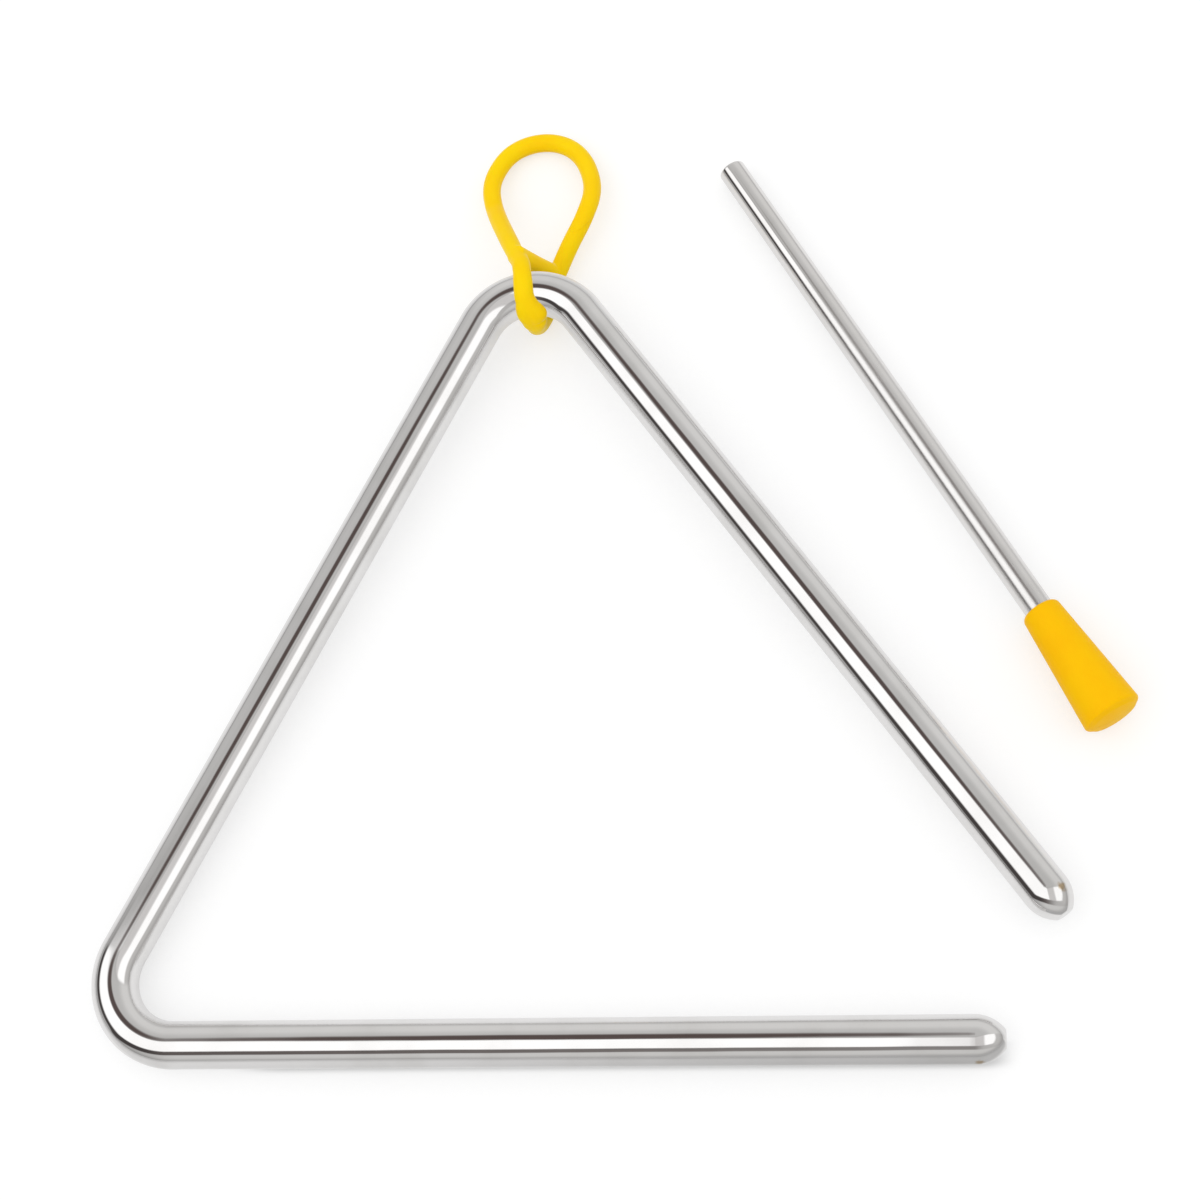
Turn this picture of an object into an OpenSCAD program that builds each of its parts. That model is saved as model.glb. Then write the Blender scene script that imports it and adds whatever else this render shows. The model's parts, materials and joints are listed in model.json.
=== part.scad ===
// Steel triangle with its moulded hanging loop, and the striker that lies beside it.
// Frame: +Z up, X along the bottom leg, Y towards the top corner, millimetres.
// The origin is on the table, under the middle of the whole set.

/* [Triangle rod] */
// Diameter of the steel rod
rod_d = 8; // [6:0.5:10]
// Closed side, between the sharp corners of its centreline
closed_side = 164; // [120:1:220]
// Angle inside each of the two bends
corner_angle = 63; // [60:0.5:66]
// Radius of each bend, to the centreline
bend_r = 11; // [10:0.5:16]
// How far each leg stops short of the open corner's sharp point
end_setback = 24.6; // [18:0.2:40]
// Flat ground on the tip of each leg, across
end_flat_d = 3; // [1:0.5:5]
// Radius of the arc that draws each leg in to its tip
end_arc_r = 6.25; // [5.5:0.25:10]

/* [Hanging loop] */
// Thickness of the moulded strand
strand_d = 3; // [2:0.1:3.6]
// Clearance under the rod's inner side, where the ring hangs on it
ring_gap = 0.3; // [0.2:0.05:1]
// How far the ring's middle lies beyond the rod's middle
ring_slack = 0.4; // [0.2:0.1:1.5]
// Sideways lean of the half ring in front of the rod
front_lean = 15.7; // [10:0.1:19]
// Sideways lean of the half ring behind the rod
back_lean = 13.3; // [10:0.1:19]
// Angle round the rod at which the half rings turn straight
ring_leave_angle = 72; // [62:1:82]
// Straight strap from each half ring to the finger loop
strap_l = 5.2; // [4:0.1:7]
// How far up the front strap the cross bar joins it
bar_up = 2.7; // [1.5:0.1:3.5]
// Radius of the finger loop's round end
loop_end_r = 8.8; // [7:0.1:11]
// Half of the angle that the round end takes up
loop_end_angle = 52; // [40:1:62]
// Radius of the finger loop's sides
loop_side_r = 13.1; // [11.5:0.1:17]
// Reach from the rod's middle to the far end of the finger loop
loop_reach = 36.2; // [34:0.1:42]

/* [Striker] */
// Diameter of the striker's rod
striker_d = 5; // [4:0.5:6]
// Length of the whole striker
striker_l = 127; // [100:1:160]
// Rounding of the rod's two ends
striker_edge_r = 0.5; // [0.2:0.1:1]
// Length of the grip
grip_l = 22.5; // [18:0.5:40]
// Diameter of the grip's thin end
grip_thin_d = 7.2; // [6.8:0.1:8.4]
// Diameter of the grip's thick end
grip_thick_d = 10.4; // [9:0.1:14]
// Rounding of the thin end's edge
grip_thin_edge_r = 1; // [0.2:0.05:1.1]
// Rounding of the thick end's edge
grip_thick_edge_r = 1.2; // [0.5:0.1:2.5]
// Rise of the thick end's crown
grip_crown = 0.5; // [0.2:0.1:1]
// Wall between the rod's end and the grip's thick end
grip_end_wall = 4; // [2:0.5:8]
// Clearance past the rod's end in the grip
grip_end_gap = 0.3; // [0.1:0.05:1]

/* [Lay] */
// Start of the striker, along the right leg from the top corner
lay_along = 8.4; // [0:0.2:30]
// Start of the striker, out from the right leg's centreline
lay_out = 40; // [32:0.5:60]
// Turn of the striker in towards the right leg
lay_turn = 5.8; // [0:0.1:7]

/* [Hidden] */
$fn = 96;
// Points on each rounded edge of the grip's outline
edge_steps = 10;
// Each joint of a bent bar is a ball a little proud of the bar, with the two ends just inside it
joint_swell = 0.03;
joint_inset = 0.12;

rod_r = rod_d / 2;
strand_r = strand_d / 2;
striker_r = striker_d / 2;

// Triangle, in its own plane: the lower left sharp corner is at zero, the bottom leg along X
leg_l = closed_side / (2 * cos(corner_angle)) - end_setback;
bend_start = bend_r / tan(corner_angle / 2);
end_angle = acos((end_arc_r - rod_r + end_flat_d / 2) / end_arc_r);
end_l = end_arc_r * sin(end_angle);
side_way = [cos(corner_angle), sin(corner_angle), 0];
top_corner = closed_side * side_way;
top_bend = (closed_side - bend_start) * side_way + bend_r * [side_way.y, -side_way.x, 0];
top_y = top_bend.y + bend_r;
right_leg_angle = 2 * corner_angle - 180;

// Ring: two half circles in leaning planes that meet under the rod's inner side
ring_r = rod_r + strand_r + ring_gap + ring_slack;
front_r = ring_r / cos(front_lean);
back_r = ring_r / cos(back_lean);
ring_low_y = ring_slack - ring_r;
front_at = [-front_r * sin(front_lean), ring_slack, 0];
back_at = [back_r * sin(back_lean), ring_slack, 0];

// Ends of the straps, on the hanger's own axes: X along the rod, Y away from the triangle
front_leave = front_at + on_ring(front_lean, 1, front_r, ring_leave_angle);
back_leave = back_at + on_ring(back_lean, -1, back_r, ring_leave_angle);
front_top = front_leave + strap_l * up_strap(front_lean, 1);
back_top = back_leave + strap_l * up_strap(back_lean, -1);
bar_start = front_leave + bar_up * up_strap(front_lean, 1);

// Finger loop: a round end and two flatter sides, all arcs that share their tangents
loop_end_y = loop_reach - loop_end_r;
side_off = (loop_side_r - loop_end_r) * [sin(loop_end_angle), cos(loop_end_angle)];
right_side_at = [-side_off.x, loop_end_y - side_off.y];
left_side_at = [side_off.x, loop_end_y - side_off.y];
right_low_angle = tangent_angle(right_side_at, back_top, 1);
left_low_angle = tangent_angle(left_side_at, front_top, -1);
right_low = concat(right_side_at + loop_side_r * [cos(right_low_angle), sin(right_low_angle)], 0);
left_low = concat(left_side_at + loop_side_r * [-cos(left_low_angle), sin(left_low_angle)], 0);

// Lay: the loop's far end and the ring's lowest point both rest on the table
pitch_sine = back_r / sqrt((loop_reach - ring_slack) ^ 2 + (back_r * sin(back_lean)) ^ 2);
hanger_pitch = asin(pitch_sine);
hinge_z = strand_r + loop_reach * pitch_sine;
rod_z = rod_r + joint_swell;
plane_tilt = asin((hinge_z - rod_z) / top_y);
hinge_at = [top_bend.x, top_y * cos(plane_tilt), hinge_z];

// Striker: it rests on its tip's edge and on the grip's thick edge
grip_start = striker_l - grip_l;
grip_thin_edge = [grip_thin_d / 2 - grip_thin_edge_r, grip_start + grip_thin_edge_r];
grip_thick_edge = [grip_thick_d / 2 - grip_thick_edge_r, striker_l - grip_thick_edge_r];
tip_edge = [striker_r - striker_edge_r, striker_edge_r];
rest_step = grip_thick_edge - tip_edge;
striker_rise = atan(rest_step.x / rest_step.y)
    + asin((grip_thick_edge_r - striker_edge_r) / norm(rest_step));
striker_turn = right_leg_angle - lay_turn;
striker_z = tip_edge.x * cos(striker_rise) + striker_edge_r - tip_edge.y * sin(striker_rise);
striker_at = [
    top_corner.x + lay_along * cos(right_leg_angle) - lay_out * sin(right_leg_angle),
    top_corner.y * cos(plane_tilt) + lay_along * sin(right_leg_angle) + lay_out * cos(right_leg_angle),
    striker_z
];
striker_dir = [
    cos(striker_rise) * cos(striker_turn),
    cos(striker_rise) * sin(striker_turn),
    sin(striker_rise)
];
grip_hole_l = grip_l - grip_end_wall;
striker_rod_l = striker_l - grip_end_wall - grip_end_gap;

// Box of the whole set on the table
left_x = bend_start - bend_r - rod_r;
right_x = striker_at.x + grip_thick_edge.y * striker_dir.x
    + grip_thick_edge.x * sqrt(1 - striker_dir.x ^ 2) + grip_thick_edge_r;
near_y = -rod_z;
far_y = hinge_at.y + loop_reach * cos(hanger_pitch) + strand_r;
middle = [(left_x + right_x) / 2, (near_y + far_y) / 2, 0];

// A point on a half ring, from the ring's own centre; side is 1 in front, -1 behind
function on_ring(lean, side, r, angle) =
    r * [-side * sin(lean) * cos(angle), cos(lean) * cos(angle), side * sin(angle)];

// The way that a strap runs, tangent to its half ring
function up_strap(lean, side) = on_ring(lean, side, 1, ring_leave_angle - 90);

// The angle, up from the side's own way outwards, at which a line from a point touches
// a side arc; side is 1 right, -1 left
function tangent_angle(at, from, side) =
    let (d = [side * (from.x - at.x), from.y - at.y])
    atan2(d.y, d.x) + acos(loop_side_r / norm(d));

// The point where the loop's round end turns into a side; side is 1 right, -1 left
function loop_turn(side) =
    [side * loop_end_r * sin(loop_end_angle), loop_end_y + loop_end_r * cos(loop_end_angle), 0];

// Points of a round edge, from one angle to another
function round_edge(at, r, from, to) =
    [for (i = [0 : edge_steps]) at + r * [cos(from + (to - from) * i / edge_steps),
                                          sin(from + (to - from) * i / edge_steps)]];

// Turns a piece that is drawn along Z to run along another way, from a point
module along(at, way) {
    translate(at)
        rotate([0, acos(way.z / norm(way)), atan2(way.y, way.x)])
            children();
}

// Straight round bar from one joint to another
module bar(from, to, r) {
    along(from, to - from)
        translate([0, 0, joint_inset])
            cylinder(r = r, h = norm(to - from) - 2 * joint_inset);
}

// Round bar bent to a radius, with joints at the two angles
module bent_bar(r, bend, from, to) {
    inset = asin(joint_inset / bend);
    rotate([0, 0, from + inset])
        rotate_extrude(angle = to - from - 2 * inset)
            translate([bend, 0])
                circle(r);
}

// Ball that joins the bars that meet at a point, with its axis along one of them
module joint(at, way, r) {
    along(at, way)
        sphere(r = r + joint_swell);
}

// A free leg from its sharp corner: an arc draws it in to a small flat at its tip
module leg(corner, way) {
    along(corner, way)
        rotate_extrude()
            polygon(concat(
                [[0, bend_start + joint_inset], [rod_r, bend_start + joint_inset]],
                round_edge([rod_r - end_arc_r, leg_l - end_l], end_arc_r, 0, end_angle),
                [[0, leg_l]]
            ));
    joint(corner + bend_start * way, way, rod_r);
}

module triangle_rod() {
    color("silver")
        translate([0, 0, rod_z] - middle)
            rotate([plane_tilt, 0, 0]) {
                translate([bend_start, bend_r, 0])
                    bent_bar(rod_r, bend_r, 90 + corner_angle, 270);
                translate(top_bend)
                    bent_bar(rod_r, bend_r, 90 + right_leg_angle, 90 + corner_angle);
                leg([0, 0, 0], [1, 0, 0]);
                leg(top_corner, [cos(right_leg_angle), sin(right_leg_angle), 0]);
                bar(bend_start * side_way, (closed_side - bend_start) * side_way, rod_r);
                joint(bend_start * side_way, side_way, rod_r);
                joint((closed_side - bend_start) * side_way, side_way, rod_r);
            }
}

// The ring round the rod, with its two straps and the bar across them
module hanger_ring() {
    translate(front_at)
        rotate([90, 0, 90 + front_lean])
            bent_bar(strand_r, front_r, ring_leave_angle, 180);
    translate(back_at)
        rotate([-90, 0, 90 - back_lean])
            bent_bar(strand_r, back_r, ring_leave_angle, 180);
    bar(front_leave, front_top, strand_r);
    bar(back_leave, back_top, strand_r);
    bar(bar_start, back_top, strand_r);
    joint([0, ring_low_y, 0], [0, 0, 1], strand_r);
    joint(front_leave, up_strap(front_lean, 1), strand_r);
    joint(back_leave, up_strap(back_lean, -1), strand_r);
    joint(bar_start, back_top - bar_start, strand_r);
    joint(front_top, left_low - front_top, strand_r);
    joint(back_top, right_low - back_top, strand_r);
}

// The finger loop, from one strap round to the other
module finger_loop() {
    translate([0, loop_end_y, 0])
        bent_bar(strand_r, loop_end_r, 90 - loop_end_angle, 90 + loop_end_angle);
    translate([right_side_at.x, right_side_at.y, 0])
        bent_bar(strand_r, loop_side_r, right_low_angle, 90 - loop_end_angle);
    translate([left_side_at.x, left_side_at.y, 0])
        bent_bar(strand_r, loop_side_r, 90 + loop_end_angle, 180 - left_low_angle);
    bar(back_top, right_low, strand_r);
    bar(front_top, left_low, strand_r);
    joint(right_low, [0, 0, 1], strand_r);
    joint(left_low, [0, 0, 1], strand_r);
    for (side = [-1, 1])
        joint(loop_turn(side), [cos(loop_end_angle), -side * sin(loop_end_angle), 0], strand_r);
}

module hanging_loop() {
    color("gold")
        translate(hinge_at - middle)
            rotate([-hanger_pitch, 0, 0]) {
                hanger_ring();
                finger_loop();
            }
}

// Places a piece that is drawn along Z, from the striker's tip to its grip
module along_striker() {
    translate(striker_at - middle)
        rotate([0, 90 - striker_rise, striker_turn])
            children();
}

module striker_rod() {
    color("lightgray")
        along_striker()
            rotate_extrude()
                polygon(concat(
                    [[0, 0]],
                    round_edge(tip_edge, striker_edge_r, -90, 0),
                    round_edge([tip_edge.x, striker_rod_l - striker_edge_r], striker_edge_r, 0, 90),
                    [[0, striker_rod_l]]
                ));
}

// Outline of the grip from its axis outwards, thin end first
module grip_outline() {
    step = grip_thick_edge - grip_thin_edge;
    flare = atan(step.x / step.y) + asin((grip_thick_edge_r - grip_thin_edge_r) / norm(step));
    crown_r = (grip_thick_edge.x ^ 2 + grip_crown ^ 2) / (2 * grip_crown);
    crown_angle = asin(grip_thick_edge.x / crown_r);
    polygon(concat(
        [[0, grip_start]],
        round_edge(grip_thin_edge, grip_thin_edge_r, -90, -flare),
        round_edge(grip_thick_edge, grip_thick_edge_r, -flare, 90 - crown_angle),
        round_edge([0, striker_l + grip_crown - crown_r], crown_r, 90 - crown_angle, 90)
    ));
}

module striker_grip() {
    color("goldenrod")
        along_striker()
            difference() {
                rotate_extrude()
                    grip_outline();
                translate([0, 0, grip_start - grip_end_wall])
                    cylinder(d = striker_d, h = grip_hole_l + grip_end_wall);
            }
}

triangle_rod();
hanging_loop();
striker_rod();
striker_grip();
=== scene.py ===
"""Looks of the triangle instrument, its moulded hanger and its striker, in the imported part's frame."""
import json

import bpy
import numpy as np
from mathutils import Matrix, Vector
from numpy import arccos, arcsin, arctan2, cos, pi, radians, sin, sqrt, tan


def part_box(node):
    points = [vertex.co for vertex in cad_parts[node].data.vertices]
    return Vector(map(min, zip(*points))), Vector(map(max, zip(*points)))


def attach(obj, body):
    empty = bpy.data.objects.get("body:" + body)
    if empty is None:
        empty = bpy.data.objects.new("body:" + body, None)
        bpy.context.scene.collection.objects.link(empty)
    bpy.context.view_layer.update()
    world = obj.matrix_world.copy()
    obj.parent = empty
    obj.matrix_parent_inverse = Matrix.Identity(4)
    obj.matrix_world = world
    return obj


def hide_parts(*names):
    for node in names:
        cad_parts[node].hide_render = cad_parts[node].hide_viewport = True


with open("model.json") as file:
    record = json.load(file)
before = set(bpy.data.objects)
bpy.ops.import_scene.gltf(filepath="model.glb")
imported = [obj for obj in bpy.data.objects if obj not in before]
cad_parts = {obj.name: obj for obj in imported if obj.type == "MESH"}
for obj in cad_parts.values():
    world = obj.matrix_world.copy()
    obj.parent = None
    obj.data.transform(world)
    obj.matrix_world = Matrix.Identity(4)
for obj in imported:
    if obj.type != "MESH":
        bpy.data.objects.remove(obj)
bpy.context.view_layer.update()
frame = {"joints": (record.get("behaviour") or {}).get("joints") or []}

MM = 0.001

# Triangle rod, in millimetres
ROD_R = 4.0
CLOSED_SIDE = 164.0
CORNER_ANGLE = radians(63)
BEND_R = 11.0
END_SETBACK = 24.6
END_FLAT_R = 1.5
END_ARC_R = 6.25
END_EDGE_R = 0.7
ROD_REST_Z = 4.03

# Moulded hanger, in millimetres
STRAND_R = 1.5
RING_GAP = 0.3
RING_SLACK = 0.4
FRONT_LEAN = radians(15.7)
BACK_LEAN = radians(13.3)
RING_LEAVE_ANGLE = radians(72)
STRAP_L = 5.2
BAR_UP = 2.7
LOOP_END_R = 8.8
LOOP_END_ANGLE = radians(52)
LOOP_SIDE_R = 13.1
LOOP_REACH = 36.2

# Where the hanger in the photo departs from its plain outline, in millimetres
# The front strap bows sideways on its way over the rod and down to the ring's lowest point: (run, shift)
STRAP_BOW = ((0.0, 0.0), (2.6, 0.3), (4.0, 0.6), (5.6, 0.78), (7.8, 0.55), (10.0, 0.27),
             (12.5, -0.25), (14.5, -0.15), (17.3, 1.2))
# Under the rod that shift fades over a share of the back half ring, which is pulled a little sideways
BACK_BOW_END = 0.3
BACK_PULL = 0.15
# The strap is wider than the strand, more so low down; steps are (from, to, shift) along it and the hump
# is (at, width, shift)
WIDER_LEFT = -0.15
WIDER_LEFT_STEPS = ((8.0, 10.0, -0.2), (13.2, 17.0, -1.25), (18.0, 21.0, 1.8))
WIDER_RIGHT = 0.1
WIDER_RIGHT_HUMP = (16.0, 2.3, 0.85)
# The runs leave out the strap's first points, and the left one goes on along the back half ring's first
WIDER_SKIPS = 8
WIDER_GOES_ROUND = 20
# The finger loop isn't quite symmetric; here the steps and humps go by the height up the loop
LOOP_RIGHT_HUMPS = ((17.8, 4.0, 0.5), (29.0, 4.0, -0.4))
LOOP_LEFT_HUMPS = ((21.6, 4.0, 0.3),)
LOOP_TOP_STEPS = ((29.0, 35.0, -0.3),)
LOOP_RIGHT_FROM = (0.5, 3.0)
# The bar is shifted at both ends, and thicker towards them by these shares of the strand's radius
BAR_SHIFT = (0.3, -0.4, 0.8)
BAR_END_SHIFT = (0.0, 0.5, 0.0)
BAR_THICKER_LEFT = 0.2
BAR_THICKER_RIGHT = 0.15
# The strand is thicker in the ring's low part and in the loop. There it grows upward only, and at the
# loop's top inward only
LOOP_THICKER = 0.13
LOOP_THICKER_FROM = (3.0, 9.0)
LOOP_TOP_INWARD = 0.06
LOOP_TOP_FROM = (25.0, 35.0)
RING_THICKER = 0.12
RING_THICKER_FROM = (1.0, 4.5)

# Striker, in millimetres
STRIKER_R = 2.5
STRIKER_L = 127.0
STRIKER_EDGE_R = 0.5
GRIP_L = 22.5
GRIP_THIN_R = 3.6
GRIP_THICK_R = 5.2
GRIP_THIN_EDGE_R = 1.0
GRIP_THICK_EDGE_R = 1.2
GRIP_CROWN = 0.5
CROWN_STOPS_SHORT = 0.0005
SHAFT_SEATED_SHOWN = 2.0
STRIKER_OUT = 40.0
STRIKER_ALONG = 8.4
STRIKER_TURN = radians(5.8)

# Where the grip in the photo departs from the solid, in millimetres
GRIP_SHOWN_EDGE_R = 0.6
GRIP_SHOWN_THIN_LESS = 0.15
GRIP_SHOWN_THICK_LESS = 0.03
GRIP_SHOWN_SHORTER = 0.3
# Its mouth, hidden by the shaft
GRIP_MOUTH = 0.35
GRIP_RIM_IN = 0.01
GRIP_BORE_LESS = 0.05

# Detail of the meshes: counts, and lengths in millimetres
SIDES = 96
BEND_STEPS = 90
LEG_STEPS = 140
END_ARC_STEPS = 24
END_EDGE_STEPS = 12
SHAFT_STEPS = 60
GRIP_STEPS = 30
EDGE_STEPS = 14
SHARP_ANGLE = radians(40)
AXIS_R = 0.001
TIP_RING_R = 0.9
HANGER_SIDES = 40
HALF_RING_STEPS = 60
STRAP_STEPS = 30
BACK_STRAP_STEPS = 8
LOOP_STEPS = 50
BAR_STEPS = 40
PATH_STEP = 0.25
LEAST_R = 0.05
EASING_ROUNDS = 16
HANGER_VOXEL = 0.16
HANGER_SOFTEN_ROUNDS = 24
HANGER_FILL = 0.07

# Steel: the clean plating's grey and the hazy one's
STEEL_GREYS = ((0.80, 0.79, 0.785), (0.74, 0.73, 0.72))
STRIKER_GREYS = ((0.80, 0.785, 0.775), (0.74, 0.725, 0.71))
# The striker gets duller away from its tip, in millimetres along it
DULLER_ALONG = (10.0, 55.0)
STRIKER_DULLER = 0.2
# Small brown spots near the two leg tips, in the rod's own axes, in millimetres
BROWN_SPOTS = ((165.86, 23.88, 3.41), (151.69, -3.89, 0.93))
BROWN_REACH = (0.9, 1.7)
BROWN_RAGGED = 1.2
BROWN_STRENGTH = 0.8
BROWN_COLOUR = (0.42, 0.29, 0.13)

# Plastic: each drifts between two yellows
HANGER_YELLOWS = ((1.0, 0.69, 0.001), (1.0, 0.63, 0.001))
GRIP_YELLOWS = ((1.0, 0.56, 0.001), (0.99, 0.52, 0.001))

# Table, in metres. Matt surfaces see it white; the camera and reflections see a grey, lifted by a glow
TABLE_WHITES = ((0.84, 0.84, 0.84), (0.86, 0.86, 0.86))
TABLE_SEEN = (0.45, 0.45, 0.45)
TABLE_HALF = 6.0
TABLE_LIFT = 0.58
# In reflections the table falls off towards the horizon, by the length of the ray
TABLE_LIFT_MIRRORED = (0.48, 0.26)
TABLE_FALLS_OFF = (0.01, 0.08)
# They also show a painted shade on it in front of the bottom leg, deeper to the right
TABLE_FRONT_Y = (-0.092, -0.087)
TABLE_FRONT_X = (-0.08, 0.06)
TABLE_FRONT_PAINTED_SHADE = (0.10, 0.36)
# A contact shadow is painted in front of the bottom leg, where it touches the table: the lift drops in that
# strip
TABLE_LIFT_IN_PAINTED_SHADOW = 0.22
PAINTED_SHADOW_FRONT_Y = (-0.0894, -0.0872)
PAINTED_SHADOW_BACK_Y = (-0.0846, -0.0836)
PAINTED_SHADOW_LEFT_X = (-0.068, -0.055)
PAINTED_SHADOW_RIGHT_X = (0.060, 0.068)

# Studio, by the X, Y and Z of the direction looked in. An edge's two numbers are where it fades from and
# to, and two more after them are its strengths there
SOFT_EDGE = (-0.07, 0.07)
DIFFUSER_FAR_EDGE = (-0.08, 0.02)
DIFFUSER_FAR_SLOPES = (0.52, -0.40)
DIFFUSER_LOW_EDGE = 0.457
DIFFUSER_CLIMBS_FROM = -0.4
DIFFUSER_CLIMB = 1.2
DIFFUSER_COLOUR = (1.27, 1.27, 1.27)
STRIP_LEFT_X = (-0.04, 0.04)
STRIP_RIGHT_X = (0.39, 0.53)
STRIP_COLOUR = (0.72, 0.705, 0.70)
RIM_DEPTH_Y = (-0.5, -0.3)
RIM_LEFT_DEPTHS = (-0.46, -0.267)
RIM_DEPTH_X = (-0.45, -0.15)
RIM_RIGHT_DEPTH = -0.477
RIM_FAR_EDGE = (-0.13, 0.07)
RIM_PALER_X = (-0.35, 0.5)
RIM_PALEST = 0.24
RIM_COLOUR_X = (-0.6, -0.2)
RIM_COLOURS = ((0.07, 0.062, 0.06), (0.15, 0.13, 0.125))
GAP_AT = (-0.165, 0.24)
GAP_SIZE = (0.17, 0.20)
GAP_EDGE = (0.3, 1.7)
GAP_LOW_EDGE = (0.1, 0.3)
GAP_COLOUR = (0.11, 0.085, 0.08)
WALLS_X = (-0.75, -0.25)
WALL_COLOURS = ((0.58, 0.575, 0.57), (0.76, 0.755, 0.745))
WALLS_LOW = (0.0, 0.3, 0.71, 1.0)
WALLS_HIGH = (0.55, 0.9, 1.0, 0.78)
WALLS_BEHIND = (-0.7, -0.3, 0.91, 1.0)
PLAIN_LIGHTS = ((0.86, 0.86, 0.86), (0.97, 0.97, 0.97))

# Lamp, in metres and watts
LAMP_AT = (-0.55, -0.30, 0.95)
LAMP_SIZE = (1.2, 0.9)
LAMP_POWER = 1.6

# Camera
AIM = Vector((-2.063, -8.168, 6.190)) * MM
CAMERA_DISTANCE = 417.22 * MM
CAMERA_AZIMUTH = radians(22.78)
CAMERA_ELEVATION = radians(67.57)
CAMERA_ROLL = radians(23.22)
LENS_MM = 72
SENSOR_MM = 36
CLIP_RANGE = (0.01, 50.0)


# Small geometry helpers

def unit(v):
    return v / np.linalg.norm(v)


def arc(at, r, start, end, steps):
    """Points of an arc in the XY plane."""
    angles = np.linspace(start, end, steps)
    return np.array([[at[0] + r * cos(a), at[1] + r * sin(a), 0.0] for a in angles])


def line(start, end, steps):
    return np.linspace(np.array(start, float), np.array(end, float), steps)


def smooth(value, low, high):
    """Zero below low, one above high, eased between them."""
    k = np.clip((value - low) / (high - low), 0, 1)
    return k * k * (3 - 2 * k)


def eased_steps(value, rows):
    """The sum of eased steps, each (from, to, size)."""
    return sum(size * smooth(value, low, high) for low, high, size in rows)


def humps(value, rows):
    """The sum of bell-shaped humps, each (at, width, size)."""
    return sum(size * np.exp(-((value - at) / width) ** 2) for at, width, size in rows)


def path_lengths(path):
    """How far along the path each of its points is."""
    pieces = np.linalg.norm(np.diff(path, axis=0), axis=1)
    return np.concatenate([[0.0], np.cumsum(pieces)])


def resampled(path, spacing):
    """The same path with even steps."""
    run = path_lengths(path)
    wanted = np.linspace(0, run[-1], int(run[-1] / spacing) + 1)
    return np.stack([np.interp(wanted, run, path[:, k]) for k in range(3)], axis=1)


def eased(path, rounds):
    """A closed path with its corners eased."""
    for _ in range(rounds):
        path = 0.25 * np.roll(path, 1, axis=0) + 0.5 * path + 0.25 * np.roll(path, -1, axis=0)
    return path


def cross_directions(path, closed):
    """Two directions across the path at each point, turned from point to point as little as can be."""
    if closed:
        tangents = np.roll(path, -1, axis=0) - np.roll(path, 1, axis=0)
    else:
        tangents = np.gradient(path, axis=0)
    tangents = tangents / np.linalg.norm(tangents, axis=1)[:, None]
    helper = np.array([0.0, 0.0, 1.0]) if abs(tangents[0][2]) < 0.9 else np.array([1.0, 0.0, 0.0])
    across = unit(np.cross(helper, tangents[0]))
    sides, ups = [], []
    for t in tangents:
        across = unit(across - (across @ t) * t)
        sides.append(across)
        ups.append(np.cross(t, across))
    return np.array(sides), np.array(ups)


def sweep(path, radii, closed=False, sides=SIDES):
    """A round tube along a path: points, faces, and for each point how far along and round it is."""
    side, up = cross_directions(path, closed)
    angles = np.linspace(0, 2 * pi, sides, endpoint=False)
    run = path_lengths(path)
    points, grain, faces = [], [], []
    for p, s, u, r, d in zip(path, side, up, radii, run):
        for a in angles:
            points.append(p + r * (cos(a) * s + sin(a) * u))
            grain.append((d, a * r, 0.0))
    rings = len(path)
    for i in range(rings if closed else rings - 1):
        for j in range(sides):
            a, b = i * sides + j, i * sides + (j + 1) % sides
            c, d = ((i + 1) % rings) * sides + (j + 1) % sides, ((i + 1) % rings) * sides + j
            faces.append((a, b, c, d))
    if not closed:
        for ring, flip in ((0, True), (rings - 1, False)):
            centre = len(points)
            points.append(path[ring])
            grain.append((run[ring], 0.0, 0.0))
            for j in range(sides):
                a, b = ring * sides + j, ring * sides + (j + 1) % sides
                faces.append((b, a, centre) if flip else (a, b, centre))
    return np.array(points), faces, np.array(grain)


def lathe(outline):
    """A turned piece round Z from (radius, height) points."""
    angles = np.linspace(0, 2 * pi, SIDES, endpoint=False)
    points, grain, faces = [], [], []
    run = path_lengths(np.array([[r, h, 0.0] for r, h in outline]))
    for (r, h), d in zip(outline, run):
        for a in angles:
            points.append((r * cos(a), r * sin(a), h))
            grain.append((d, a * max(r, 1.0), 0.0))
    for i in range(len(outline) - 1):
        for j in range(SIDES):
            a, b = i * SIDES + j, i * SIDES + (j + 1) % SIDES
            faces.append((a, b, b + SIDES, a + SIDES))
    return np.array(points), faces, np.array(grain)


def mesh_piece(name, shape, place, material):
    """A smooth mesh object from points in millimetres; place brings it into the part's frame."""
    points, faces, grain = shape
    mesh = bpy.data.meshes.new(name)
    mesh.from_pydata(np.asarray(points).tolist(), [], faces)
    mesh.update()
    keep_vectors(mesh, "grain", grain)
    mesh.shade_smooth()
    mesh.set_sharp_from_angle(angle=SHARP_ANGLE)
    return placed(name, mesh, place, material)


def keep_vectors(mesh, name, values):
    """Stores a vector for each point, which the materials read."""
    attribute = mesh.attributes.new(name, "FLOAT_VECTOR", "POINT")
    attribute.data.foreach_set("vector", np.asarray(values, np.float32).ravel())


def placed(name, mesh, place, material):
    """The object, with its mesh in the part's frame; each point keeps its own place for the materials."""
    keep_vectors(mesh, "own_place", [v.co for v in mesh.vertices])
    mesh.transform(place @ Matrix.Scale(MM, 4))
    mesh.materials.append(material)
    piece = bpy.data.objects.new(name, mesh)
    bpy.context.scene.collection.objects.link(piece)
    return piece


# Node helpers

def new_material(name):
    material = bpy.data.materials.new(name)
    material.use_nodes = True
    return material, material.node_tree, material.node_tree.nodes["Principled BSDF"]


def maths(tree, kind, *inputs, clamp=False):
    """One Math node; each input is a number or another node's output."""
    node = tree.nodes.new("ShaderNodeMath")
    node.operation = kind
    node.use_clamp = clamp
    for socket, value in zip(node.inputs, inputs):
        if isinstance(value, bpy.types.NodeSocket):
            tree.links.new(value, socket)
        else:
            socket.default_value = value
    return node.outputs[0]


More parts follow.
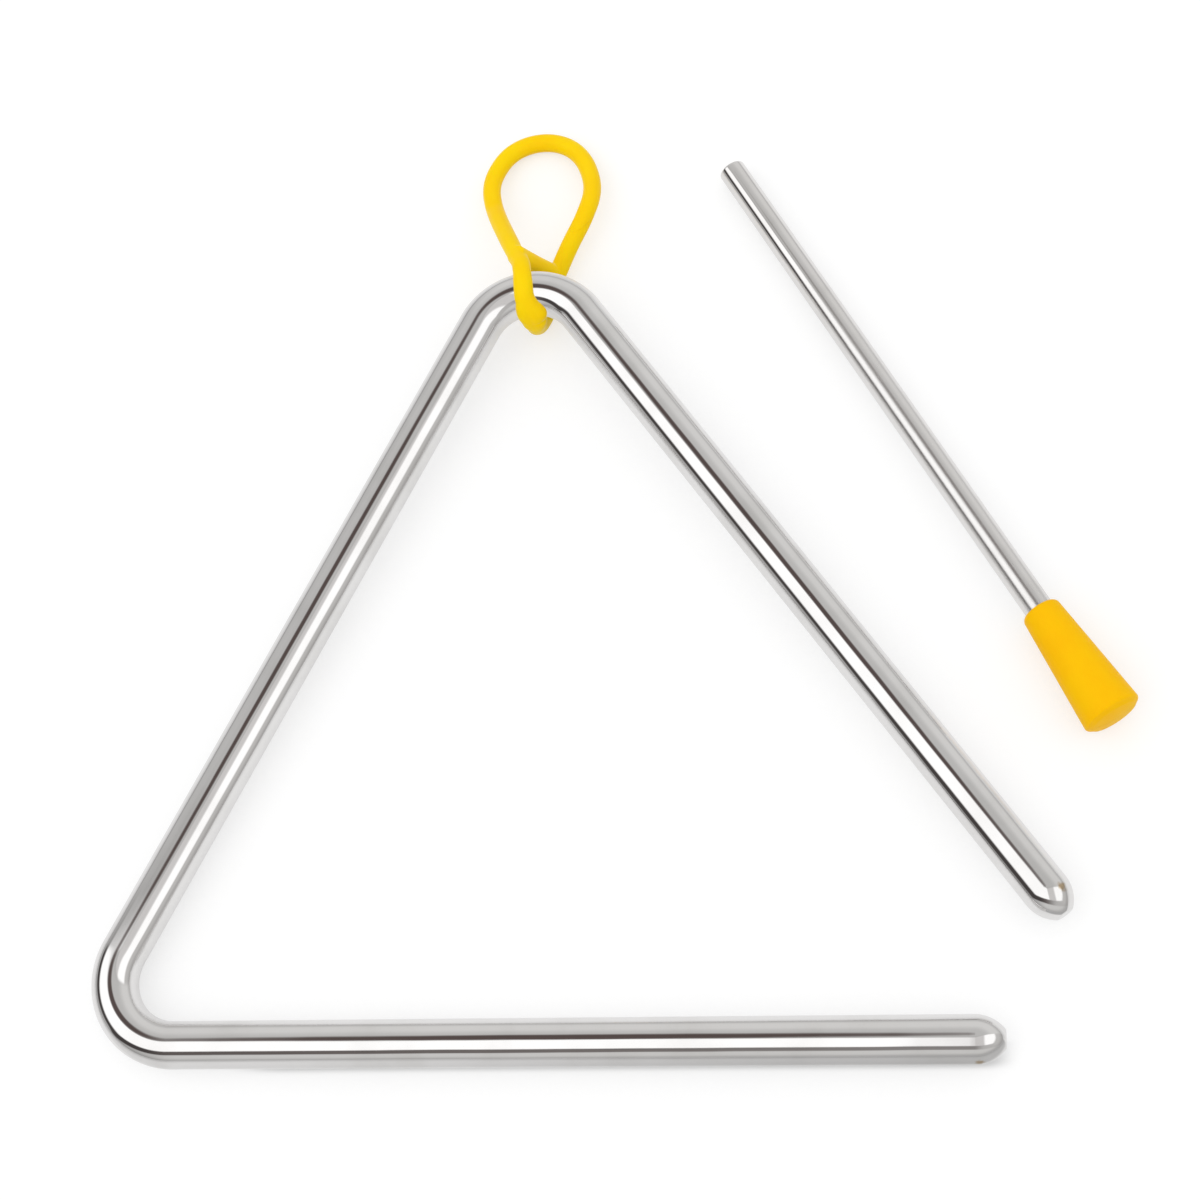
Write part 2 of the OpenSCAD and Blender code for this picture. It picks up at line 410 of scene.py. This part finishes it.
def product(tree, *factors):
    """All the factors multiplied."""
    result = factors[0]
    for factor in factors[1:]:
        result = maths(tree, "MULTIPLY", result, factor)
    return result


def smooth_range(tree, value, low, high, to_low=0.0, to_high=1.0):
    """Eases from to_low to to_high while the value goes from low to high."""
    node = tree.nodes.new("ShaderNodeMapRange")
    node.interpolation_type = "SMOOTHSTEP"
    for name, number in (("From Min", low), ("From Max", high), ("To Min", to_low), ("To Max", to_high)):
        if isinstance(number, bpy.types.NodeSocket):
            tree.links.new(number, node.inputs[name])
        else:
            node.inputs[name].default_value = number
    tree.links.new(value, node.inputs["Value"])
    return node.outputs["Result"]


def mixed(tree, factor, low, high):
    """Colour mix; low and high are colours or outputs."""
    node = tree.nodes.new("ShaderNodeMix")
    node.data_type = "RGBA"
    tree.links.new(factor, node.inputs["Factor"])
    for socket, value in ((node.inputs[6], low), (node.inputs[7], high)):
        if isinstance(value, bpy.types.NodeSocket):
            tree.links.new(value, socket)
        else:
            socket.default_value = (*value, 1.0)
    return node.outputs[2]


def noise(tree, vector, scale, detail, stretch=(1.0, 1.0, 1.0)):
    """Soft noise around a half."""
    mapping = tree.nodes.new("ShaderNodeMapping")
    mapping.inputs["Scale"].default_value = stretch
    tree.links.new(vector, mapping.inputs["Vector"])
    node = tree.nodes.new("ShaderNodeTexNoise")
    node.inputs["Scale"].default_value = scale
    node.inputs["Detail"].default_value = detail
    tree.links.new(mapping.outputs["Vector"], node.inputs["Vector"])
    return node.outputs["Fac"]


def bump(tree, height, distance, under=None):
    """A normal with the height's relief, in metres, on top of the one under it."""
    node = tree.nodes.new("ShaderNodeBump")
    node.inputs["Distance"].default_value = distance
    tree.links.new(height, node.inputs["Height"])
    if under is not None:
        tree.links.new(under, node.inputs["Normal"])
    return node.outputs["Normal"]


def separated(tree, vector):
    """The vector's X, Y and Z."""
    node = tree.nodes.new("ShaderNodeSeparateXYZ")
    tree.links.new(vector, node.inputs["Vector"])
    return node.outputs


def coordinates(tree, kind):
    return tree.nodes.new("ShaderNodeTexCoord").outputs[kind]


def kept_vector(tree, name):
    """A vector that was stored on the mesh, in millimetres: grain is along and round the piece."""
    node = tree.nodes.new("ShaderNodeAttribute")
    node.attribute_name = name
    return node.outputs["Vector"]


# Materials

def with_brown_spots(tree, colour, spots):
    """The colour with a small ragged brown patch round each spot."""
    own = kept_vector(tree, "own_place")
    ragged = maths(tree, "MULTIPLY", noise(tree, own, scale=1.1, detail=3.0), BROWN_RAGGED)
    for spot in spots:
        away = tree.nodes.new("ShaderNodeVectorMath")
        away.operation = "DISTANCE"
        away.inputs[1].default_value = spot
        tree.links.new(own, away.inputs[0])
        reach = maths(tree, "ADD", away.outputs["Value"], ragged)
        # A small ragged brown patch round the spot
        brown = smooth_range(tree, reach, *BROWN_REACH, BROWN_STRENGTH, 0.0)
        colour = mixed(tree, brown, colour, BROWN_COLOUR)
    return colour


def plated_steel(name, colours, brown_spots=(), duller=0.0):
    """Bright plating over drawn rod: faint draw lines, soft waves, fine scuffs and a little haze."""
    material, tree, shader = new_material(name)
    grain = kept_vector(tree, "grain")
    position = coordinates(tree, "Object")
    haze = noise(tree, position, scale=90.0, detail=4.0)
    scuffs = noise(tree, grain, scale=1.0, detail=5.0, stretch=(0.35, 3.0, 1.0))
    shown = mixed(tree, smooth_range(tree, haze, 0.42, 0.72), *colours)
    if brown_spots:
        shown = with_brown_spots(tree, shown, brown_spots)
    tree.links.new(shown, shader.inputs["Base Color"])
    rough = maths(tree, "ADD", smooth_range(tree, haze, 0.35, 0.75, 0.035, 0.075),
                  smooth_range(tree, scuffs, 0.55, 0.75, 0.0, 0.05))
    if duller:
        along = separated(tree, grain)["X"]
        rough = maths(tree, "ADD", rough, smooth_range(tree, along, *DULLER_ALONG, 0.0, duller))
    tree.links.new(rough, shader.inputs["Roughness"])
    waves = noise(tree, grain, scale=0.12, detail=1.0, stretch=(0.6, 1.0, 1.0))
    lines = noise(tree, grain, scale=1.0, detail=3.0, stretch=(0.05, 5.0, 1.0))
    normal = bump(tree, waves, 0.00006)
    normal = bump(tree, lines, 0.0000012, normal)
    tree.links.new(normal, shader.inputs["Normal"])
    shader.inputs["Metallic"].default_value = 1.0
    return material


def moulded_plastic(name, colours, roughness, shine, seam_across, seam_along, seam_half_width, seam_from):
    """Moulded plastic: a fine satin skin, slight colour drift and the mould's parting line.

    The line lies where the piece's own seam_across axis is zero, beyond seam_from on its seam_along axis.
    """
    material, tree, shader = new_material(name)
    own = kept_vector(tree, "own_place")
    drift = noise(tree, own, scale=0.14, detail=3.0)
    shown = mixed(tree, smooth_range(tree, drift, 0.3, 0.75), *colours)
    tree.links.new(shown, shader.inputs["Base Color"])
    skin = noise(tree, own, scale=2.6, detail=2.0)
    rough = smooth_range(tree, skin, 0.3, 0.7, roughness - 0.04, roughness + 0.05)
    tree.links.new(rough, shader.inputs["Roughness"])
    parts = separated(tree, own)
    off_plane = maths(tree, "ABSOLUTE", parts[seam_across])
    seam = smooth_range(tree, off_plane, 0.0, seam_half_width, 1.0, 0.0)
    beyond = smooth_range(tree, parts[seam_along], seam_from, seam_from + 1.5)
    normal = bump(tree, product(tree, seam, beyond), 0.00006)
    normal = bump(tree, noise(tree, own, scale=0.42, detail=2.0), 0.00004, normal)
    normal = bump(tree, skin, 0.0000022, normal)
    tree.links.new(normal, shader.inputs["Normal"])
    shader.inputs["Subsurface Weight"].default_value = 0.1
    shader.inputs["Subsurface Radius"].default_value = (1.0, 0.5, 0.05)
    shader.inputs["Subsurface Scale"].default_value = 0.0008
    shader.inputs["Specular IOR Level"].default_value = shine
    return material


def table_lift(tree, rays, direct, position):
    """How strongly the table glows, for the rays that see it directly and for reflected ones, with painted
    shade in front of the bottom leg.
    """
    x, y, _ = separated(tree, position)
    mirrored = smooth_range(tree, rays.outputs["Ray Length"], *TABLE_FALLS_OFF, *TABLE_LIFT_MIRRORED)
    # Painted shade on the table as reflections show it, in front of the bottom leg
    front = smooth_range(tree, y, *TABLE_FRONT_Y, 1.0, 0.0)
    painted_shade = product(tree, front, smooth_range(tree, x, *TABLE_FRONT_X, *TABLE_FRONT_PAINTED_SHADE))
    mirrored = maths(tree, "SUBTRACT", mirrored, painted_shade, clamp=True)
    # Painted contact shadow: a strip in front of the bottom leg where the lift is lower
    painted_shadow = product(
        tree,
        smooth_range(tree, y, *PAINTED_SHADOW_FRONT_Y),
        smooth_range(tree, y, *PAINTED_SHADOW_BACK_Y, 1.0, 0.0),
        smooth_range(tree, x, *PAINTED_SHADOW_LEFT_X),
        smooth_range(tree, x, *PAINTED_SHADOW_RIGHT_X, 1.0, 0.0),
    )
    lift = smooth_range(tree, painted_shadow, 0.0, 1.0, TABLE_LIFT, TABLE_LIFT_IN_PAINTED_SHADOW)
    mirrored = product(tree, rays.outputs["Is Glossy Ray"], mirrored)
    return maths(tree, "ADD", product(tree, direct, lift), mirrored)


def table_material():
    """Matt white table: lit by the studio, and lifted towards white for the camera and reflections."""
    material, tree, shader = new_material("studio_floor")
    rays = tree.nodes.new("ShaderNodeLightPath")
    direct_kinds = rays.outputs["Is Camera Ray"], rays.outputs["Is Transmission Ray"]
    direct = maths(tree, "ADD", *direct_kinds, clamp=True)
    seen = maths(tree, "ADD", direct, rays.outputs["Is Glossy Ray"], clamp=True)
    position = coordinates(tree, "Object")
    tooth = noise(tree, position, scale=900.0, detail=3.0)
    shown = mixed(tree, seen, mixed(tree, tooth, *TABLE_WHITES), TABLE_SEEN)
    tree.links.new(shown, shader.inputs["Base Color"])
    shader.inputs["Roughness"].default_value = 0.5
    shader.inputs["Specular IOR Level"].default_value = 0.3
    tree.links.new(bump(tree, tooth, 0.00001), shader.inputs["Normal"])
    shader.inputs["Emission Color"].default_value = (1.0, 1.0, 1.0, 1.0)
    tree.links.new(table_lift(tree, rays, direct, position), shader.inputs["Emission Strength"])
    return material


# Pieces

def rod_tip():
    """A leg's rounded tip: distances along it, and how far its surface has drawn in there."""
    length = END_ARC_R * sin(arccos((END_ARC_R - ROD_R + END_FLAT_R) / END_ARC_R))
    edge_at = length - END_EDGE_R
    edge_in = sqrt((END_ARC_R - END_EDGE_R) ** 2 - edge_at ** 2)
    touch = arctan2(edge_at, edge_in)
    along_arc = np.linspace(0, touch, END_ARC_STEPS)
    round_edge = np.linspace(touch, pi / 2, END_EDGE_STEPS)[1:]
    tip = np.concatenate([END_ARC_R * sin(along_arc), edge_at + END_EDGE_R * sin(round_edge)])
    out = np.concatenate([END_ARC_R * cos(along_arc), edge_in + END_EDGE_R * cos(round_edge)])
    return tip, out - END_ARC_R


def rod_path():
    """Centreline of the triangle's rod in its own plane, from the bottom leg's tip to the right leg's.

    Returns it with the radius at each point and the Y of the top bend's furthest centreline point.
    """
    leg = CLOSED_SIDE / (2 * cos(CORNER_ANGLE)) - END_SETBACK
    start = BEND_R / tan(CORNER_ANGLE / 2)
    tip, inward = rod_tip()
    arc_l = tip[-1]
    right_way = 2 * CORNER_ANGLE - pi
    side = np.array([cos(CORNER_ANGLE), sin(CORNER_ANGLE), 0.0])
    top = CLOSED_SIDE * side
    top_bend = (CLOSED_SIDE - start) * side + BEND_R * np.array([side[1], -side[0], 0.0])
    way = np.array([cos(right_way), sin(right_way), 0.0])
    path = np.concatenate([
        [[leg - arc_l + s, 0.0, 0.0] for s in tip[::-1]],
        line([leg - arc_l, 0, 0], [start, 0, 0], LEG_STEPS)[1:],
        arc([start, BEND_R], BEND_R, -pi / 2, CORNER_ANGLE - 3 * pi / 2, BEND_STEPS)[1:],
        line(start * side, (CLOSED_SIDE - start) * side, LEG_STEPS)[1:],
        arc(top_bend, BEND_R, CORNER_ANGLE + pi / 2, right_way + pi / 2, BEND_STEPS)[1:],
        line(top + start * way, top + (leg - arc_l) * way, LEG_STEPS)[1:],
        [top + (leg - arc_l + s) * way for s in tip[1:]],
    ])
    radii = np.full(len(path), ROD_R)
    radii[:len(tip)] += inward[::-1]
    radii[-len(tip):] += inward
    return path, radii, top_bend[1] + BEND_R


def ring_radius(lean):
    """Radius of a half ring that leans over and still clears the rod."""
    return (ROD_R + STRAND_R + RING_GAP + RING_SLACK) / cos(lean)


def half_ring(lean, side, angles):
    """Half of the leaning ring; side is 1 above the rod and -1 below it."""
    r = ring_radius(lean)
    at = np.array([-side * r * sin(lean), RING_SLACK, 0.0])
    ways = [[-side * sin(lean) * cos(a), cos(lean) * cos(a), side * sin(a)] for a in angles]
    return at + r * np.array(ways)


def strap_way(lean, side):
    """The direction in which a strap leaves the ring."""
    angle = RING_LEAVE_ANGLE - pi / 2
    return np.array([-side * sin(lean) * cos(angle), cos(lean) * cos(angle), side * sin(angle)])


def finger_loop(right_foot, left_foot):
    """The loop's outline from the right strap's top round to the left one's."""

    def touch_angle(at, foot, side):
        d = np.array([side * (foot[0] - at[0]), foot[1] - at[1]])
        return arctan2(d[1], d[0]) + arccos(LOOP_SIDE_R / np.linalg.norm(d))

    end_at = np.array([0.0, LOOP_REACH - LOOP_END_R])
    off = (LOOP_SIDE_R - LOOP_END_R) * np.array([sin(LOOP_END_ANGLE), cos(LOOP_END_ANGLE)])
    right_at, left_at = end_at + [-off[0], -off[1]], end_at + [off[0], -off[1]]
    right_end, left_end = pi / 2 - LOOP_END_ANGLE, pi / 2 + LOOP_END_ANGLE
    return np.concatenate([
        arc(right_at, LOOP_SIDE_R, touch_angle(right_at, right_foot, 1), right_end, LOOP_STEPS),
        arc(end_at, LOOP_END_R, right_end, left_end, LOOP_STEPS)[1:],
        arc(left_at, LOOP_SIDE_R, left_end, pi - touch_angle(left_at, left_foot, -1), LOOP_STEPS)[1:],
    ])


def widened_strap(strap, back):
    """Two more runs of the front strap, shifted sideways; the left one goes on round the ring's foot."""
    left = np.concatenate([strap, back[1:WIDER_GOES_ROUND]])
    left[:, 0] += WIDER_LEFT + eased_steps(path_lengths(left), WIDER_LEFT_STEPS)
    right = strap.copy()
    right[:, 0] += WIDER_RIGHT + humps(path_lengths(strap), [WIDER_RIGHT_HUMP])
    return [resampled(run[WIDER_SKIPS:], PATH_STEP) for run in (left, right)]


def hanger_paths():
    """The hanger's closed strand, its bar and the runs that widen its front strap.

    X is along the rod and Y points out of the triangle.
    """
    front = half_ring(FRONT_LEAN, 1, np.linspace(RING_LEAVE_ANGLE, pi, HALF_RING_STEPS))
    back = half_ring(BACK_LEAN, -1, np.linspace(pi, RING_LEAVE_ANGLE, HALF_RING_STEPS))
    front_top = front[0] + STRAP_L * strap_way(FRONT_LEAN, 1)
    back_top = back[-1] + STRAP_L * strap_way(BACK_LEAN, -1)
    strap = np.concatenate([line(front_top, front[0], STRAP_STEPS), front[1:]])
    bow_run, bow = np.transpose(STRAP_BOW)
    strap[:, 0] += np.interp(path_lengths(strap), bow_run, bow)
    turn = np.linspace(0, 1, len(back))
    back[:, 0] += bow[-1] * (1 - smooth(turn, 0.0, BACK_BOW_END)) - BACK_PULL * sin(pi * turn)
    loop = finger_loop(back_top, front_top)
    strand = np.concatenate([back, line(back[-1], back_top, BACK_STRAP_STEPS)[1:], loop, strap])
    strand = eased(resampled(strand, PATH_STEP)[:-1], EASING_ROUNDS)
    up_loop = strand[:, 1]
    right = smooth(strand[:, 0], *LOOP_RIGHT_FROM)
    uneven = right * humps(up_loop, LOOP_RIGHT_HUMPS) + (1 - right) * humps(up_loop, LOOP_LEFT_HUMPS)
    strand[:, 0] += uneven + eased_steps(up_loop, LOOP_TOP_STEPS)
    bar_start = front[0] + BAR_UP * strap_way(FRONT_LEAN, 1) + BAR_SHIFT
    bar = line(bar_start, back_top + BAR_END_SHIFT, BAR_STEPS)
    return strand, bar, widened_strap(strap, back)


def hanger_pitch():
    """How far the hanger's plane leans down to rest on the table."""
    back_r = ring_radius(BACK_LEAN)
    return arcsin(back_r / sqrt((LOOP_REACH - RING_SLACK) ** 2 + (back_r * sin(BACK_LEAN)) ** 2))


def hinge():
    joint = next(j for j in frame["joints"] if j["name"] == "hanger_swing")
    return Vector(joint["pos_m"])


def rod_place():
    """The rod's own plane: the bottom leg rests on the table and the top bend on the hanger."""
    low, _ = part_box("triangle_rod")
    path, _, top_y = rod_path()
    tilt = arcsin((hinge().z / MM - ROD_REST_Z) / top_y)
    left = min(path[:, 0]) - ROD_R
    origin = Vector((low.x - left * MM, hinge().y - top_y * cos(tilt) * MM, ROD_REST_Z * MM))
    return Matrix.Translation(origin) @ Matrix.Rotation(tilt, 4, "X")


def make_rod(material):
    path, radii, _ = rod_path()
    piece = mesh_piece("triangle_polished_rod", sweep(path, radii), rod_place(), material)
    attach(piece, "triangle")
    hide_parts("triangle_rod")


def round_ended(path):
    """Radii for a tube of the strand's thickness with ball ends."""
    run = path_lengths(path)
    from_end = np.minimum(np.minimum(run, run[-1] - run), STRAND_R)
    return np.maximum(sqrt(STRAND_R ** 2 - (STRAND_R - from_end) ** 2), LEAST_R)


def hanger_tubes():
    """The hanger's tubes as one object, still overlapping."""
    strand, bar, widened = hanger_paths()
    thicker = LOOP_THICKER * smooth(strand[:, 1], *LOOP_THICKER_FROM)
    strand[:, 1] -= (thicker + LOOP_TOP_INWARD) * smooth(strand[:, 1], *LOOP_TOP_FROM)
    strand[:, 2] += thicker
    thicker += RING_THICKER * smooth(-strand[:, 1], *RING_THICKER_FROM)
    along = np.linspace(0, 1, len(bar))
    bar_r = STRAND_R * (1.0 + BAR_THICKER_LEFT * (1 - along) ** 2 + BAR_THICKER_RIGHT * along ** 4)
    tubes = [sweep(strand, STRAND_R + thicker, closed=True, sides=HANGER_SIDES)]
    tubes += [sweep(bar, bar_r, sides=HANGER_SIDES)]
    tubes += [sweep(run, round_ended(run), sides=HANGER_SIDES) for run in widened]
    points, faces, count = [], [], 0
    for tube_points, tube_faces, _ in tubes:
        points.append(tube_points)
        faces += [tuple(i + count for i in f) for f in tube_faces]
        count += len(tube_points)
    mesh = bpy.data.meshes.new("hanger_rough")
    mesh.from_pydata(np.concatenate(points).tolist(), [], faces)
    rough = bpy.data.objects.new("hanger_rough", mesh)
    bpy.context.scene.collection.objects.link(rough)
    return rough


def make_hanger(material):
    """Strand, bar and widened front strap are blended into one moulding by a fine voxel remesh."""
    rough = hanger_tubes()
    remesh = rough.modifiers.new("blend", "REMESH")
    remesh.mode = "VOXEL"
    remesh.voxel_size = HANGER_VOXEL
    soften = rough.modifiers.new("soften", "SMOOTH")
    soften.factor = 0.5
    soften.iterations = HANGER_SOFTEN_ROUNDS
    fill = rough.modifiers.new("fill", "DISPLACE")
    fill.strength = HANGER_FILL
    fill.mid_level = 0.0
    graph = bpy.context.evaluated_depsgraph_get()
    made = bpy.data.meshes.new_from_object(rough.evaluated_get(graph))
    bpy.data.objects.remove(rough)
    made.shade_smooth()
    place = Matrix.Translation(hinge()) @ Matrix.Rotation(-hanger_pitch(), 4, "X")
    piece = placed("hanger_moulding", made, place, material)
    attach(piece, "hanger")
    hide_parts("hanging_loop")
    # A mirrored strap draws a dark yellow patch on the rod, which the photo doesn't show
    piece.visible_glossy = False


def corner(at, r, start, end):
    """A rounded corner of a turned outline."""
    return [(at[0] + r * cos(a), at[1] + r * sin(a)) for a in np.linspace(start, end, EDGE_STEPS)]


def striker_place():
    """From the striker's own axis along Z, tip at zero, to its place beside the triangle's right leg."""
    thick = np.array([GRIP_THICK_R - GRIP_THICK_EDGE_R, STRIKER_L - GRIP_THICK_EDGE_R])
    tip = np.array([STRIKER_R - STRIKER_EDGE_R, STRIKER_EDGE_R])
    step = thick - tip
    edges_differ = arcsin((GRIP_THICK_EDGE_R - STRIKER_EDGE_R) / np.linalg.norm(step))
    rise = arctan2(step[0], step[1]) + edges_differ
    way = 2 * CORNER_ANGLE - pi
    tilt = rod_place().to_euler().x
    corner_at = CLOSED_SIDE * np.array([cos(CORNER_ANGLE), sin(CORNER_ANGLE) * cos(tilt)])
    along_leg, out_of_leg = np.array([cos(way), sin(way)]), np.array([-sin(way), cos(way)])
    at = corner_at + STRIKER_ALONG * along_leg + STRIKER_OUT * out_of_leg
    start = rod_place().to_translation()
    height = tip[0] * cos(rise) + STRIKER_EDGE_R - tip[1] * sin(rise)
    place = Vector((start.x + at[0] * MM, start.y + at[1] * MM, height * MM))
    turn = Matrix.Rotation(way - STRIKER_TURN, 4, "Z") @ Matrix.Rotation(pi / 2 - rise, 4, "Y")
    return Matrix.Translation(place) @ turn


def make_striker_shaft(material):
    seated = STRIKER_L - GRIP_L + SHAFT_SEATED_SHOWN
    outline = [(AXIS_R, 0.0), (TIP_RING_R, 0.0)]
    outline += corner([STRIKER_R - STRIKER_EDGE_R, STRIKER_EDGE_R], STRIKER_EDGE_R, -pi / 2, 0)
    outline += [(STRIKER_R, h) for h in np.linspace(STRIKER_EDGE_R, seated, SHAFT_STEPS)[1:]]
    outline += [(AXIS_R, seated)]
    piece = mesh_piece("striker_shaft", lathe(outline), striker_place(), material)
    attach(piece, "striker")
    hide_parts("striker_rod")


def make_grip(material):
    """Tapered grip with rounded edges, a crowned end and a short mouth that the shaft hides."""
    start = STRIKER_L - GRIP_L
    edge_r = GRIP_SHOWN_EDGE_R
    thin = np.array([GRIP_THIN_R - GRIP_SHOWN_THIN_LESS - GRIP_THIN_EDGE_R, start + GRIP_THIN_EDGE_R])
    thick = np.array([GRIP_THICK_R - GRIP_SHOWN_THICK_LESS - edge_r, STRIKER_L - GRIP_SHOWN_SHORTER - edge_r])
    step = thick - thin
    flare = arctan2(step[0], step[1]) + arcsin((edge_r - GRIP_THIN_EDGE_R) / np.linalg.norm(step))
    crown_r = (thick[0] ** 2 + GRIP_CROWN ** 2) / (2 * GRIP_CROWN)
    crown = arcsin(thick[0] / crown_r)
    outline = [(STRIKER_R - GRIP_BORE_LESS, start + 2 * GRIP_MOUTH), (STRIKER_R, start + GRIP_MOUTH)]
    outline += [(thin[0] - GRIP_RIM_IN, start)]
    outline += corner(thin, GRIP_THIN_EDGE_R, -pi / 2, -flare)
    low = np.array(outline[-1])
    rounded = corner(thick, edge_r, -flare, pi / 2 - crown)
    high = np.array(rounded[0])
    outline += [tuple(low + (high - low) * k) for k in np.linspace(0, 1, GRIP_STEPS)[1:-1]]
    outline += rounded
    crown_at = [0, STRIKER_L + GRIP_CROWN - crown_r]
    outline += corner(crown_at, crown_r, pi / 2 - crown, pi / 2 - CROWN_STOPS_SHORT)[1:]
    piece = mesh_piece("striker_grip_moulding", lathe(outline), striker_place(), material)
    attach(piece, "striker")
    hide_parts("striker_grip")
    piece.visible_glossy = False


# Studio

def make_table():
    mesh = bpy.data.meshes.new("floor")
    corners = [(x * TABLE_HALF, y * TABLE_HALF, 0) for x, y in ((-1, -1), (1, -1), (1, 1), (-1, 1))]
    mesh.from_pydata(corners, [], [(0, 1, 2, 3)])
    mesh.materials.append(table_material())
    floor = bpy.data.objects.new("floor", mesh)
    bpy.context.scene.collection.objects.link(floor)


def mirrored_studio(tree, x, y, z):
    """What reflections show: a broad white diffuser overhead, its dark rim, pale walls and one dark gap."""
    # The diffuser's far edge is a shallow notch just past the zenith
    left_slope, right_slope = DIFFUSER_FAR_SLOPES
    left_way = maths(tree, "MULTIPLY", maths(tree, "MINIMUM", x, 0.0), left_slope)
    right_way = maths(tree, "MULTIPLY", maths(tree, "MAXIMUM", x, 0.0), right_slope)
    past_edge = maths(tree, "ADD", y, maths(tree, "ADD", left_way, right_way))
    near_side = smooth_range(tree, past_edge, *DIFFUSER_FAR_EDGE, 1.0, 0.0)
    # Its low edge on the camera's side climbs towards the camera
    climbing = maths(tree, "MAXIMUM", maths(tree, "SUBTRACT", DIFFUSER_CLIMBS_FROM, y), 0.0)
    low_edge = maths(tree, "ADD", maths(tree, "MULTIPLY", climbing, DIFFUSER_CLIMB), DIFFUSER_LOW_EDGE)
    over_edge = maths(tree, "SUBTRACT", z, low_edge)
    diffuser = product(tree, near_side, smooth_range(tree, over_edge, *SOFT_EDGE))
    # Dark rim under it, paler to the right
    left_depth = smooth_range(tree, y, *RIM_DEPTH_Y, *RIM_LEFT_DEPTHS)
    rim_depth = smooth_range(tree, x, *RIM_DEPTH_X, left_depth, RIM_RIGHT_DEPTH)
    rim = product(
        tree,
        smooth_range(tree, maths(tree, "SUBTRACT", over_edge, rim_depth), *SOFT_EDGE),
        smooth_range(tree, past_edge, *RIM_FAR_EDGE, 1.0, 0.0),
        smooth_range(tree, x, *RIM_PALER_X, 1.0, RIM_PALEST),
    )
    # Dark oval gap high on the far side
    ovals = []
    for part, at, size in zip((x, y), GAP_AT, GAP_SIZE):
        off = maths(tree, "DIVIDE", maths(tree, "SUBTRACT", part, at), size)
        ovals.append(maths(tree, "POWER", off, 2.0))
    gap = smooth_range(tree, maths(tree, "ADD", *ovals), *GAP_EDGE, 1.0, 0.0)
    gap = product(tree, gap, smooth_range(tree, z, *GAP_LOW_EDGE))
    # Walls are dimmer to the left, low down, high up and behind the camera
    dimmed = product(
        tree,
        smooth_range(tree, z, *WALLS_LOW),
        smooth_range(tree, z, *WALLS_HIGH),
        smooth_range(tree, y, *WALLS_BEHIND),
    )
    walls = mixed(tree, smooth_range(tree, x, *WALLS_X), *WALL_COLOURS)
    walls = mixed(tree, dimmed, (0.0, 0.0, 0.0), walls)
    seen = mixed(tree, rim, walls, mixed(tree, smooth_range(tree, x, *RIM_COLOUR_X), *RIM_COLOURS))
    # The diffuser is two panels with a dimmer strip between them
    strip = smooth_range(tree, x, *STRIP_LEFT_X)
    strip = product(tree, strip, smooth_range(tree, x, *STRIP_RIGHT_X, 1.0, 0.0))
    seen = mixed(tree, diffuser, seen, mixed(tree, strip, DIFFUSER_COLOUR, STRIP_COLOUR))
    return mixed(tree, gap, seen, GAP_COLOUR)


def make_world():
    """Reflections show the studio, matt surfaces get plain soft light, and the camera sees white."""
    world = bpy.data.worlds.new("studio")
    world.use_nodes = True
    bpy.context.scene.world = world
    tree = world.node_tree
    tree.nodes.clear()
    x, y, z = separated(tree, coordinates(tree, "Generated"))
    rays = tree.nodes.new("ShaderNodeLightPath")
    plain = mixed(tree, smooth_range(tree, z, 0.0, 1.0), *PLAIN_LIGHTS)
    shown = mixed(tree, rays.outputs["Is Diffuse Ray"], mirrored_studio(tree, x, y, z), plain)
    shown = mixed(tree, rays.outputs["Is Camera Ray"], shown, (1.0, 1.0, 1.0))
    background = tree.nodes.new("ShaderNodeBackground")
    tree.links.new(shown, background.inputs["Color"])
    output = tree.nodes.new("ShaderNodeOutputWorld")
    tree.links.new(background.outputs["Background"], output.inputs["Surface"])


def make_lamp():
    """A large soft lamp that evens out the light on the matt surfaces."""
    data = bpy.data.lights.new("soft_lamp", "AREA")
    data.shape = "RECTANGLE"
    data.size, data.size_y = LAMP_SIZE
    data.energy = LAMP_POWER
    lamp = bpy.data.objects.new("soft_lamp", data)
    bpy.context.scene.collection.objects.link(lamp)
    lamp.location = LAMP_AT
    lamp.rotation_euler = (-lamp.location).to_track_quat("-Z", "Y").to_euler()
    lamp.visible_glossy = False


def make_camera():
    """The photo's camera, looking down at the table and turned about its own axis."""
    data = bpy.data.cameras.new("camera")
    data.lens = LENS_MM
    data.sensor_width = SENSOR_MM
    data.clip_start, data.clip_end = CLIP_RANGE
    a, e, roll = CAMERA_AZIMUTH, CAMERA_ELEVATION, CAMERA_ROLL
    back = Vector((sin(a) * cos(e), -cos(a) * cos(e), sin(e)))
    right = Vector((cos(a), sin(a), 0.0))
    up = back.cross(right)
    across = cos(roll) * right - sin(roll) * up
    upward = sin(roll) * right + cos(roll) * up
    camera = bpy.data.objects.new("camera", data)
    bpy.context.scene.collection.objects.link(camera)
    turn = Matrix((across, upward, back)).transposed().to_4x4()
    camera.matrix_world = Matrix.Translation(AIM + back * CAMERA_DISTANCE) @ turn
    bpy.context.scene.camera = camera


# The part and its studio

chrome = plated_steel("triangle_plating", STEEL_GREYS, brown_spots=BROWN_SPOTS)
striker_chrome = plated_steel("striker_plating", STRIKER_GREYS, duller=STRIKER_DULLER)
hanger_plastic = moulded_plastic(
    "hanger_plastic", HANGER_YELLOWS, roughness=0.32, shine=0.08,
    seam_across="Z", seam_along="Y", seam_half_width=0.13, seam_from=8.0)
grip_plastic = moulded_plastic(
    "grip_plastic", GRIP_YELLOWS, roughness=0.42, shine=0.05,
    seam_across="X", seam_along="Z", seam_half_width=0.15, seam_from=105.0)

make_rod(chrome)
make_hanger(hanger_plastic)
make_striker_shaft(striker_chrome)
make_grip(grip_plastic)
make_table()
make_world()
make_lamp()
make_camera()
bpy.context.scene.view_settings.view_transform = "Standard"
